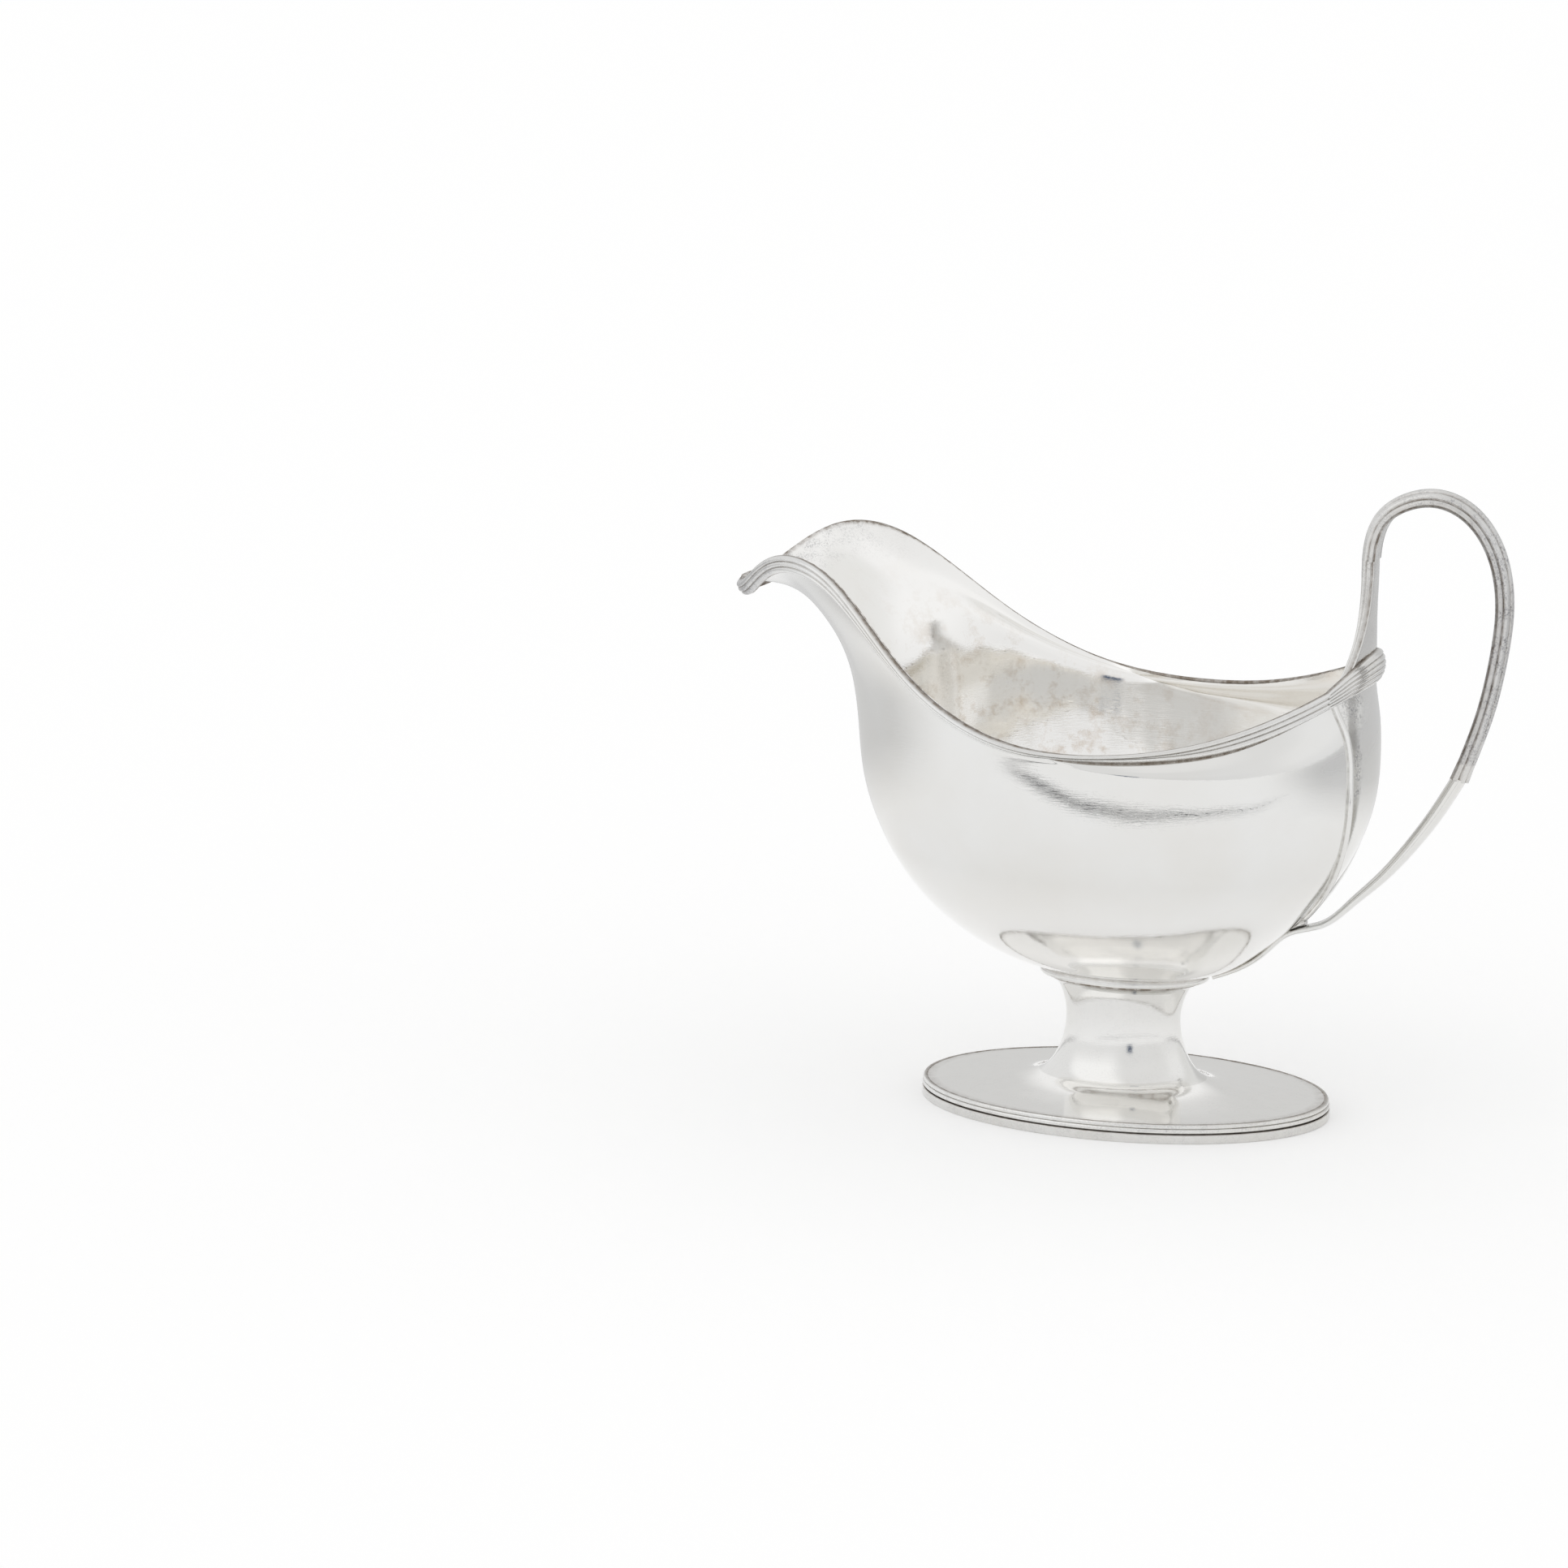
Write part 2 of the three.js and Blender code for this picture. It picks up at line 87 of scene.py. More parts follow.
# Towards the lip's tip the moulding turns outwards and thickens, over so many degrees of girth.
LIP_ROLL = {"hang": 0.95, "fat": 0.45, "swell": 0.7, "fade": 85}
BAND = {"below": 4.6, "depth": 2.5, "above": 4.3, "angle": 26}
PANEL = {"top": 134, "shoulder": 107, "half": 18.3, "tip": 57.5, "flare": 0.08}
WIRE_RADIUS = 0.85

STRAP = {"width": 9.5, "depth": 4.5}
ROOT = {"angle": 20, "top": 160, "face": 69.3, "sheet": 1.7}
LOOP_PATH = [
    (67.4, 160.3),
    (68, 165.3),
    (70.5, 171.5),
    (76.5, 176.2),
    (85, 177.9),
    (93.2, 174.9),
    (99.2, 168.4),
    (102.8, 159.9),
    (104.2, 149),
    (103.1, 136),
    (100, 120.5),
    (95.2, 105.8),
]
STEP_PATH = [(95.3, 106.2), (93.3, 100.9)]
TAIL_PATH = [(93.6, 101.5), (87.65, 91.2), (81.05, 81.6), (72.8, 71.6), (64.8, 63.8), (56.8, 57)]
TAIL_KEEL = [47, 40, 33, 26]  # x of the points where the tail lies along the keel
TAIL = {"width": 7.5, "end_width": 5, "depth": 4.2, "end_depth": 1.7}

STEM = [
    (22.8, 37.4),
    (19.6, 35.6),
    (17.9, 33),
    (16.6, 28.3),
    (16.5, 23.5),
    (17.4, 18.7),
    (19.4, 13.8),
    (22.5, 10),
    (28, 7.6),
    (36, 6.5),
    (46, 5.8),
    (57.6, 5.35),
]
FOOT_REACH = 58.6
# Piece, CAD node, half length outside and inside, bottom and top.
FOOT_REEDS = (
    ("foot_reed_top", "foot_reed_upper", FOOT_REACH - 0.25, 57.0, 4.15, 5.45),
    ("foot_reed_second", "foot_reed_lower", FOOT_REACH, 56.1, 2.9, 4.2),
)
BASE_BAND = {"width": 2.8, "top": 2.6, "round": 0.35}
# Half length and height of the collar's section, and the grime at each point.
COLLAR = [
    (17, 37.7, 0.4),
    (23.1, 37.6, 0.1),
    (23.8, 37.8, 0),
    (24.2, 38.2, 0),
    (24.3, 38.7, 0.1),
    (24.2, 39.3, 0.3),
    (23.4, 40.1, 0.5),
    (17, 38.9, 0.5),
]

foot_low, foot_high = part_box("base_band")
SHIFT = (foot_low[0] + foot_high[0]) / 2 / MM - STEM_X  # from the bowl's own middle to the part's origin


# ---- curves ----
def spline(knots, values):
    """A natural cubic spline through values at the knots. Returns a function of an array of positions."""
    knots = np.asarray(knots, float)
    values = np.asarray(values, float)
    n = len(knots)
    step = np.diff(knots)
    matrix = np.zeros((n, n))
    right = np.zeros_like(values)
    matrix[0, 0] = matrix[-1, -1] = 1
    slope = np.diff(values, axis=0) / step[:, None]
    for i in range(1, n - 1):
        matrix[i, i - 1 : i + 2] = step[i - 1], 2 * (step[i - 1] + step[i]), step[i]
        right[i] = 6 * (slope[i] - slope[i - 1])
    bend = np.linalg.solve(matrix, right)

    def at(t):
        t = np.clip(np.asarray(t, float), knots[0], knots[-1])
        i = np.clip(np.searchsorted(knots, t, side="right") - 1, 0, n - 2)
        h = step[i][..., None]
        a = (knots[i + 1] - t)[..., None] / h
        b = (t - knots[i])[..., None] / h
        cubic = ((a**3 - a) * bend[i] + (b**3 - b) * bend[i + 1]) * h**2 / 6
        return a * values[i] + b * values[i + 1] + cubic

    return at


def even_spline(points, power=0.5):
    """A spline through points whose parameter runs from 0 to 1 with the distances between them to a power."""
    points = np.asarray(points, float)
    chords = np.linalg.norm(np.diff(points, axis=0), axis=1) ** power
    knots = np.concatenate([[0], np.cumsum(chords)])
    return spline(knots / knots[-1], points)


def by_length(curve, count):
    """Points at equal distances along a curve, and the unit tangents there."""
    fine = curve(np.linspace(0, 1, 1200))
    run = np.concatenate([[0], np.cumsum(np.linalg.norm(np.diff(fine, axis=0), axis=1))])
    want = np.linspace(0, run[-1], count)
    points = np.stack([np.interp(want, run, fine[:, k]) for k in range(fine.shape[1])], axis=1)
    return points, unit(np.gradient(points, axis=0))


def unit(v):
    return v / np.maximum(np.linalg.norm(v, axis=-1, keepdims=True), 1e-12)


def smoother(t):
    t = np.clip(t, 0, 1)
    return t**3 * (t * (6 * t - 15) + 10)


# ---- the bowl's wall as a fine grid: girth angle by height ----
def rim_points():
    near = [(x, -w, z) for x, w, z in RIM]
    far = [(x, w, z) for x, w, z in RIM[-2:0:-1]]
    loop = near + far
    around = len(loop)
    wrapped = [loop[i % around] for i in range(-around, 2 * around + 1)]
    knots = np.arange(-around, 2 * around + 1) / around
    return spline(knots, wrapped)


rim_at = rim_points()


def oval_at(oval, angle):
    front, back, half, z = oval
    middle, reach = (front + back) / 2, (back - front) / 2
    return np.array([middle - reach * math.cos(angle), -half * math.sin(angle), z])


def rib(angle_degrees):
    """The wall's line from the keel to the rim at one girth angle."""
    angle = math.radians(angle_degrees)
    ovals = [oval_at(o, angle) for o in BODY_OVALS]
    rim = rim_at(angle_degrees / 360)
    ahead = rim_at((angle_degrees + 1) / 360) - rim_at((angle_degrees - 1) / 360)
    ahead[2] = 0
    ahead = unit(ahead)
    inward = np.array([-ahead[1], ahead[0], 0])
    if np.dot(inward, np.array(BOWL_MIDDLE) - rim * (1, 1, 0)) < 0:
        inward = -inward
    off = min(angle_degrees % 360, 360 - angle_degrees % 360)
    roll = smoother(1 - off / LIP_SPREAD)
    low = ovals[-1]
    rise = rim[2] - low[2]
    throat = rim + inward * (LIP_REACH * roll + THROAT_INSET)
    throat[2] += LIP_CROWN * roll - THROAT_DROP * rise * (1 - roll)
    shoulder = low + (0, 0, SHOULDER_RISE * rise)
    upper = []
    for t in (0.3, 0.55, 0.78):
        weights = ((1 - t) ** 3, 3 * t * (1 - t) ** 2, 3 * t**2 * (1 - t), t**3)
        upper.append(sum(w * p for w, p in zip(weights, (low, shoulder, throat, rim))))
    mirror = oval_at(BODY_OVALS[0], angle + math.pi)
    points = np.array([mirror, (0, 0, BODY_BOTTOM), *ovals, *upper, rim])
    chords = np.linalg.norm(np.diff(points, axis=0), axis=1) ** 0.5
    knots = np.concatenate([[0], np.cumsum(chords)])
    start = knots[1]
    return spline(knots, points)(start + (knots[-1] - start) * np.linspace(0, 1, ROWS))


ROWS = 361
AROUND = 720
wall = np.stack([rib(360 * i / AROUND) for i in range(AROUND)])
wrapped_wall = np.concatenate([wall[-1:], wall, wall[:1]])
around_step = (wrapped_wall[2:] - wrapped_wall[:-2]) / 2
up_step = np.gradient(wall, axis=1)
wall_normal = unit(np.cross(around_step, up_step))
wall_normal[:, 0] = (0, 0, -1)
wall_run = np.concatenate(
    [np.zeros((AROUND, 1)), np.cumsum(np.linalg.norm(np.diff(wall, axis=1), axis=2), axis=1)], axis=1
)


def wall_at(angle, t, out=0.0):
    """Points of the wall at girth angles in degrees and rib positions from 0 to 1, moved outwards."""
    a = (np.asarray(angle, float) % 360) / 360 * AROUND
    r = np.clip(np.asarray(t, float), 0, 1) * (ROWS - 1)
    a, r, out = np.broadcast_arrays(a, r, out)
    i, j = a.astype(int), np.minimum(r.astype(int), ROWS - 2)
    u, v = (a - i)[..., None], (r - j)[..., None]
    i, k = i % AROUND, (i + 1) % AROUND

    def blend(grid):
        low = grid[i, j] * (1 - u) + grid[k, j] * u
        high = grid[i, j + 1] * (1 - u) + grid[k, j + 1] * u
        return low * (1 - v) + high * v

    return blend(wall) + unit(blend(wall_normal)) * out[..., None]


def below_rim(angle, below):
    """The rib position at a distance below the rim, measured along the wall."""
    column = int(round((angle % 360) / 360 * AROUND)) % AROUND
    run = wall_run[column]
    return np.interp(run[-1] - np.asarray(below, float), run, np.linspace(0, 1, ROWS))


def panel_half(z):
    t = np.clip((z - PANEL["tip"]) / (PANEL["shoulder"] - PANEL["tip"]), 0, 1)
    flare = PANEL["flare"] * np.maximum(0, z - PANEL["shoulder"])
    return PANEL["half"] * np.sin(math.pi / 2 * t) ** 0.85 + flare


def panel_edge(t):
    """Girth angle of the back panel's edge at each rib position, 180 where there is no panel."""
    edges = []
    for position in np.atleast_1d(t):
        angles = np.linspace(130, 180, 201)
        points = wall_at(angles, position)
        gap = -points[:, 1] - panel_half(points[:, 2])
        crossed = np.where((gap[:-1] > 0) & (gap[1:] <= 0))[0]
        if len(crossed):
            i = crossed[-1]
            edges.append(np.interp(0, [gap[i + 1], gap[i]], [angles[i + 1], angles[i]]))
        else:
            edges.append(180.0)
    return np.array(edges)


# ---- meshes ----
def make_piece(name, points, faces, material, nodes, marks=None, source=None):
    """A mesh object from millimetre points, standing for CAD nodes.

    marks are numbers kept on its points: one for all, one each, or one for each ring point that source picks.
    """
    mesh = bpy.data.meshes.new(name)
    placed = (np.asarray(points, float) + (SHIFT, 0, 0)) * MM
    mesh.from_pydata(placed.tolist(), [], faces)
    mesh.validate()
    # The inside mark is painted light: it makes the silver lighter.
    filled = {"grime": 0.0, "wear": 0.0, "stain": 0.0, "inside": 0.0, **(marks or {})}
    for key, values in filled.items():
        values = np.asarray(values, float)
        if values.ndim == 0:
            values = np.full(len(points), float(values))
        elif source is not None:
            values = values.ravel()[source]
        attribute = mesh.attributes.new(key, "FLOAT", "POINT")
        attribute.data.foreach_set("value", np.asarray(values, np.float32).ravel())
    mesh.materials.append(material)
    obj = bpy.data.objects.new(name, mesh)
    bpy.context.scene.collection.objects.link(obj)
    mesh.shade_smooth()
    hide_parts(*nodes)
    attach(obj, "root")
    return obj


def ring_faces(rings, count, closed_rings=False, closed_around=True):
    """Faces over a stack of rings with the same number of points."""
    faces = []
    for i in range(rings if closed_rings else rings - 1):
        for j in range(count if closed_around else count - 1):
            a, b = i * count + j, i * count + (j + 1) % count
            c, d = ((i + 1) % rings) * count + (j + 1) % count, ((i + 1) % rings) * count + j
            faces.append((a, b, c, d))
    return faces


def volume(points, faces):
    total = 0.0
    for face in faces:
        p = points[list(face)]
        for k in range(1, len(face) - 1):
            total += np.dot(p[0], np.cross(p[k], p[k + 1]))
    return total / 6


def solid(rings, closed_rings=False, lean=0.0):
    """Points and outward faces of a stack of rings, and the ring point each point takes its marks from.

    An open stack is closed by a fan at each end with points of its own, which keeps the end's edge crisp.
    """
    rings = np.asarray(rings, float)
    n, m, _ = rings.shape
    points = rings.reshape(-1, 3)
    source = np.arange(n * m)
    faces = ring_faces(n, m, closed_rings)
    if not closed_rings:
        for ring, start in ((rings[0], 0), (rings[-1], (n - 1) * m)):
            middle = ring.mean(axis=0) * (1 - lean) + (ring[0] + ring[-1]) / 2 * lean
            first = len(points)
            points = np.concatenate([points, ring, [middle]])
            source = np.concatenate([source, np.arange(start, start + m), [start]])
            for j in range(m):
                a, b = first + j, first + (j + 1) % m
                faces.append((first + m, b, a) if start == 0 else (first + m, a, b))
    if volume(points, faces[:: max(1, len(faces) // 4000)]) < 0:
        faces = [tuple(reversed(f)) for f in faces]
    return points, faces, source


def waves(points, size, height, seed):
    """The slow unevenness of hand-raised sheet: heights in millimetres at each point."""
    offset = Vector((seed * 13.7, seed * 5.1, seed * 9.3))
    flat = points.reshape(-1, 3)
    values = []
    for p in flat:
        place = Vector(p) / size
        values.append(noise.noise(place + offset) + 0.35 * noise.noise(place * 2.3 - offset))
    return (np.array(values) * height).reshape(points.shape[:-1])


def reeds(count, steps, sizes=None):
    """Outline of a reeded strip from 0 to 1 along it: positions and bulges, with a groove between reeds."""
    sizes = np.array(sizes or [1] * count, float)
    edges = np.concatenate([[0], np.cumsum(sizes)]) / sizes.sum()
    along, bulge = [], []
    for r in range(count):
        for i in range(steps + 1):
            if r > 0 and i == 0:
                continue
            s = i / steps
            along.append(edges[r] + (edges[r + 1] - edges[r]) * s)
            bulge.append(math.sqrt(max(0.0, 1 - (2 * s - 1) ** 2)))
    return np.array(along), np.array(bulge)


# ---- materials ----
class Nodes:
    """A small helper that adds shader nodes and links them."""

    def __init__(self, name):
        self.material = bpy.data.materials.new(name)
        self.material.use_nodes = True
        self.tree = self.material.node_tree
        self.shader = self.tree.nodes["Principled BSDF"]

    def add(self, kind, links=None, **settings):
        node = self.tree.nodes.new(kind)
        for key, value in settings.items():
            setattr(node, key, value)
        for key, value in (links or {}).items():
            self.set(node, key, value)
        return node

    def set(self, node, key, value):
        socket = node.inputs[key]
        if isinstance(value, bpy.types.NodeSocket):
            self.tree.links.new(value, socket)
        else:
            socket.default_value = value

    def noise(self, where, scale, detail=3.0, roughness=0.5):
        links = {"Vector": where, "Scale": scale, "Detail": detail, "Roughness": roughness}
        return self.add("ShaderNodeTexNoise", links).outputs["Fac"]

    def ramp(self, value, low, high, to_low=0.0, to_high=1.0):
        links = {0: value, 1: low, 2: high, 3: to_low, 4: to_high}
        return self.add("ShaderNodeMapRange", links).outputs[0]

    def maths(self, operation, a, b=0.0):
        node = self.add("ShaderNodeMath", {0: a, 1: b}, operation=operation, use_clamp=False)
        return node.outputs[0]

    def mix(self, fac, a, b):
        node = self.add("ShaderNodeMix", data_type="RGBA")
        self.set(node, 0, fac)
        self.set(node, 6, a)
        self.set(node, 7, b)
        return node.outputs[2]

    def mark(self, name):
        return self.add("ShaderNodeAttribute", attribute_name=name, attribute_type="GEOMETRY").outputs["Fac"]


SILVER_LIGHT = (0.80, 0.80, 0.79, 1)
SILVER_WARM = (0.765, 0.755, 0.73, 1)
# A lighter silver, laid on as painted light where the inside mark is.
SILVER_PAINTED_LIGHT = (0.96, 0.952, 0.935, 1)
TARNISH_BROWN = (0.17, 0.125, 0.085, 1)
TARNISH_GREY = (0.30, 0.30, 0.315, 1)
STAIN_BROWN = (0.56, 0.44, 0.32, 1)


def silver(name, gloss=0.03, tarnish=1.0, satin=0.15, even=0.0, dull=0.0):
    """Polished silver: warm clouds, brown tarnish where the grime mark is (on the strap pieces also painted
    shade toward the edges), grey pitted satin where worn, and painted light, a lighter silver, where the inside
    mark is.

    even runs from 0, tarnish in broken spots, to 1, tarnish as an unbroken line. dull greys what is worn.
    """
    n = Nodes(name)
    where = n.add("ShaderNodeTexCoord").outputs["Object"]
    clouds = n.ramp(n.noise(where, 28, 4), 0.35, 0.7)
    base = n.mix(clouds, SILVER_LIGHT, SILVER_WARM)
    # Painted light: where the inside mark is, the silver is made lighter.
    base = n.mix(n.maths("MULTIPLY", n.mark("inside"), 0.85), base, SILVER_PAINTED_LIGHT)

    blotches = n.ramp(n.noise(where, 130, 6, 0.7), 0.5, 0.66)
    stained = n.maths("MULTIPLY", n.mark("stain"), blotches)
    base = n.mix(n.maths("MULTIPLY", stained, 0.75), base, STAIN_BROWN)

    wear = n.mark("wear")
    base = n.mix(n.maths("MULTIPLY", wear, dull), base, TARNISH_GREY)
    pits = n.ramp(n.noise(where, 1900, 3, 0.75), 0.47, 0.6)
    patches = n.ramp(n.noise(where, 260, 4, 0.6), 0.4, 0.6)
    grey = n.maths("MULTIPLY", n.maths("MULTIPLY", pits, patches), wear)
    base = n.mix(grey, base, TARNISH_GREY)

    # The grime mark is tarnish in hollows and joints; on the strap pieces it also holds painted shade toward
    # the edges.
    broken = n.ramp(n.noise(where, 420, 4, 0.65), 0.4, 0.62, even, 1.0)
    brown = n.maths("MULTIPLY", n.maths("MULTIPLY", n.mark("grime"), broken), tarnish)
    base = n.mix(brown, base, TARNISH_BROWN)
    n.set(n.shader, "Base Color", base)
    n.shader.inputs["Metallic"].default_value = 1.0

    haze = n.ramp(n.noise(where, 55, 5, 0.6), 0.35, 0.75, gloss, gloss + 0.025)
    rough = n.maths("ADD", haze, n.maths("MULTIPLY", brown, 0.4))
    rough = n.maths("ADD", rough, n.maths("MULTIPLY", wear, satin))
    rough = n.maths("ADD", rough, n.maths("MULTIPLY", grey, 0.3))
    rough = n.maths("ADD", rough, n.maths("MULTIPLY", stained, 0.12))
    n.set(n.shader, "Roughness", rough)

    brushed = {"Vector": where, "Scale": (1.0, 6.0, 14.0), "Rotation": (0.5, 0.3, 0.9)}
    stretch = n.add("ShaderNodeMapping", brushed)
    scratches = n.ramp(n.noise(stretch.outputs[0], 160, 6, 0.7), 0.42, 0.6)
    grain = n.noise(where, 900, 4, 0.7)
    relief = n.maths("ADD", n.maths("MULTIPLY", scratches, 0.25), n.maths("MULTIPLY", grain, 0.12))
    relief = n.maths("SUBTRACT", relief, n.maths("MULTIPLY", grey, 1.6))
    bump = n.add("ShaderNodeBump", {"Height": relief, "Strength": 0.1, "Distance": 0.0001})
    n.set(n.shader, "Normal", bump.outputs[0])
    return n.material


bowl_silver = silver("bowl_silver", gloss=0.005, even=0.3, satin=0.3)
panel_silver = silver("panel_silver", gloss=0.015)
moulding_silver = silver("moulding_silver", gloss=0.05, tarnish=0.9, satin=0.22, even=0.6, dull=0.4)
strap_silver = silver("strap_silver", gloss=0.08, tarnish=1.0, satin=0.2, even=0.5, dull=0.26)
handle_silver = silver("handle_silver", gloss=0.03)
foot_silver = silver("foot_silver", gloss=0.005, even=0.4)
edge_silver = silver("edge_silver", gloss=0.05, tarnish=0.9, even=0.6)


# ---- the bowl and its back panel ----
def grid_normals(points):
    across = np.gradient(points, axis=1)
    up = np.gradient(points, axis=0)
    return unit(np.cross(across, up))


def sheet_piece(name, points, material, node, waves_at, marks_out, marks_in):
    """A sheet over an open grid of rows by columns, with its four edges closed."""
    rows, columns, _ = points.shape
    normals = grid_normals(points)
    outer = points + normals * waves_at[0][..., None]
    inner = points - normals * (SHEET + waves_at[1])[..., None]
    stacked = np.concatenate([outer.reshape(-1, 3), inner.reshape(-1, 3)])
    back = rows * columns
    faces = []
    for a, b, c, d in ring_faces(rows, columns, closed_around=False):
        faces.append((a, b, c, d))
        faces.append((back + a, back + d, back + c, back + b))
    top = [(rows - 1) * columns + j for j in range(columns)]
    bottom = list(range(columns - 1, -1, -1))
    right = [i * columns + columns - 1 for i in range(rows)]
    left = [i * columns for i in range(rows - 1, -1, -1)]
    for line in (top, bottom, right[::-1], left[::-1]):
        for a, b in zip(line[:-1], line[1:]):
            faces.append((b, a, back + a, back + b))
    marks = {key: np.stack([marks_out[key], marks_in[key]]) for key in marks_out}
    return make_piece(name, stacked, faces, material, [node], marks)


def row_positions(count):
    """Rib positions from the keel to the rim, closer together near the rim."""
    t = np.linspace(0, 1, count)
    return 0.012 + (1 - 0.012) * (1 - (1 - t) ** 1.15)


def make_bowl():
    rows, side = 150, 190
    t = row_positions(rows)
    edge = panel_edge(t)
    share = np.linspace(0, 1, side)
    near = share[None, :] * edge[:, None]
    angles = np.concatenate([near, 360 - near[:, :0:-1]], axis=1)
    angles = np.roll(angles, side - 1, axis=1)
    points = wall_at(angles, np.repeat(t[:, None], angles.shape[1], axis=1))
    from_tip = np.minimum(angles, 360 - angles)
    below = wall_run[0, -1] * (1 - t)[:, None] * np.ones_like(angles)

    flutes = [noise.noise(Vector((p[0] / 5.5, p[1] / 5.5, p[2] / 34))) for p in points.reshape(-1, 3)]
    throat = np.exp(-(((from_tip - 62) / 40) ** 2)) * np.exp(-(((below - 75) / 34) ** 2))
    flutes = np.array(flutes).reshape(angles.shape) * throat * 0.2
    waves_at = (waves(points, 21, 0.075, 1), waves(points, 17, 0.1, 4) + flutes)

    zero = np.zeros_like(angles)
    lip = np.clip(1.25 - from_tip / 46, 0, 1) * np.clip(1.3 - below / 15, 0, 1)
    spot = np.exp(-((from_tip / 5) ** 2) - ((below - 5) / 3) ** 2)
    stains = np.clip(throat * 0.8, 0, 1)
    under_mould = np.clip(1 - np.abs(below - 5) / 0.8, 0, 1) * 0.5
    # Painted light: through the inside mark the outside is made lighter below 75 mm and the whole inside
    # lighter.
    painted_belly_light = np.clip((75 - points[..., 2]) / 25, 0, 1)
    marks_out = {"grime": under_mould, "wear": zero, "stain": zero, "inside": painted_belly_light}
    marks_in = {
        "grime": np.clip(1 - below / (0.9 + 2.2 * lip), 0, 1) * 0.9,
        "wear": lip,
        "stain": np.clip(spot * 1.4 + stains, 0, 1),
        "inside": zero + 1,
    }
    return sheet_piece("silver_bowl", points, bowl_silver, "bowl", waves_at, marks_out, marks_in)


def make_panel():
    rows, columns = 110, 45
    t = row_positions(240)
    t = t[panel_edge(t) < 179.2]
    t = np.interp(np.linspace(0, 1, rows), np.linspace(0, 1, len(t)), t)
    edge = panel_edge(t)
    share = np.linspace(-1, 1, columns)
    angles = 180 + share[None, :] * (180 - edge)[:, None]
    points = wall_at(angles, np.repeat(t[:, None], columns, axis=1), -0.03)
    z, y = points[..., 2], points[..., 1]
    high = np.exp(-(((z - 122) / 5.5) ** 2) - ((np.abs(y) - 13.5) / 3.4) ** 2)
    low = np.exp(-(((z - 104) / 7) ** 2) - ((np.abs(y) - 14.5) / 1.9) ** 2)
    zero = np.zeros_like(z)
    solder = np.clip((np.abs(share) - 0.95) / 0.05, 0, 1)[None, :] * np.ones_like(z) * 0.6
    marks_out = {"grime": solder, "wear": np.clip(2.2 * (high + low), 0, 1), "stain": zero, "inside": zero}
    # Painted light: through the inside mark the panel's inside is made lighter.
    marks_in = {"grime": zero, "wear": zero, "stain": zero, "inside": zero + 1}
    waves_at = (waves(points, 21, 0.06, 1), waves(points, 17, 0.1, 4))
    return sheet_piece(
        "silver_back_panel", points, panel_silver, "back_panel", waves_at, marks_out, marks_in
    )


# ---- mouldings ----
def side_word(side):
    return "left" if side < 0 else "right"


def moulding_ring(angle, above, below, depth, along, bulge, swell=0.0, hang=0.0):
    """One ring of a reeded strip that hugs the outside of the wall, from above the rim to below it.

    swell runs from 0, separate reeds, to 1, one fat bead with shallow reeds. hang turns the strip's face
    away from the wall, in radians about the rim, with its back still on the wall.
    """
    down = -above + along * (above + below)
    bead = np.sqrt(np.clip(np.sin(math.pi * along), 0, 1))
    out = depth * (0.34 * (1 - swell) + (0.5 - 0.34 * swell) * bulge + (0.16 + 0.68 * swell) * bead)
    down = np.concatenate([[-above + 0.15], down, [below - 0.15]])
    out = np.concatenate([[-0.35], out, [-0.35]])
    ring = wall_at(np.full(len(down), angle), below_rim(angle, np.maximum(0, down)), out)
    ring[:, 2] -= np.minimum(0, down)
    edge = wall_at(angle, 1.0)
    normal = unit(wall_at(angle, 1.0, 1.0) - edge)
    back = unit(wall_at(angle, below_rim(angle, 2.0)) - edge)
    shift_back = down * (math.cos(hang) - 1) - out * math.sin(hang)
    shift_out = down * math.sin(hang) + out * (math.cos(hang) - 1)
    turned = shift_back[:, None] * back + shift_out[:, None] * normal
    ring[1:-1] += turned[1:-1]
    return ring


def strip_crease(bulge):
    """Grime in the grooves of a reeded strip and along both its edges."""
    return np.concatenate([[1], np.clip(1 - bulge / 0.6, 0, 1), [1]])


def make_moulding(side):
    along, bulge = reeds(3, 9, sizes=[1, 1, 1.1])
    crease = strip_crease(bulge)
    steps = 420
    angles = (180 - BAND["angle"] + 0.3) * np.linspace(0, 1, steps)
    places = angles if side < 0 else 360 - angles
    rings = []
    for angle, place in zip(angles, places):
        fat = smoother(1 - angle / LIP_ROLL["fade"])
        depth = MOULD["depth"] * (1 + LIP_ROLL["fat"] * fat)
        below = MOULD["height"] - MOULD["proud"]
        swell, hang = LIP_ROLL["swell"] * fat, LIP_ROLL["hang"] * fat
        rings.append(moulding_ring(place, MOULD["proud"], below, depth, along, bulge, swell, hang))
    points, faces, source = solid(rings, lean=0.3)
    tip = np.repeat(np.clip(1 - angles / 42, 0, 1), len(crease))
    marks = {"grime": np.tile(crease, steps), "wear": np.clip(tip * 1.4 + 0.15, 0, 1)}
    word = side_word(side)
    name, nodes = f"reeded_rim_{word}", [f"rim_moulding_{word}"]
    make_piece(name, points, faces, moulding_silver, nodes, marks, source)


def make_band():
    along, bulge = reeds(6, 7)
    crease = strip_crease(bulge)
    steps = 120
    rings = []
    for s in np.linspace(-1, 1, steps):
        swell = math.cos(math.pi / 2 * s) ** 0.8 if abs(s) < 1 else 0.0
        above = MOULD["proud"] + (BAND["above"] - MOULD["proud"]) * swell
        plain = MOULD["height"] - MOULD["proud"]
        below = plain + (BAND["below"] - MOULD["height"] + MOULD["proud"]) * swell
        depth = MOULD["depth"] + (BAND["depth"] - MOULD["depth"]) * swell**0.6
        rings.append(moulding_ring(180 + BAND["angle"] * s, above, below, depth, along, bulge, swell))
    points, faces, source = solid(rings, lean=0.3)
    marks = {"grime": np.tile(crease, steps), "wear": 0.15}
    make_piece("reeded_back_band", points, faces, moulding_silver, ["back_band"], marks, source)


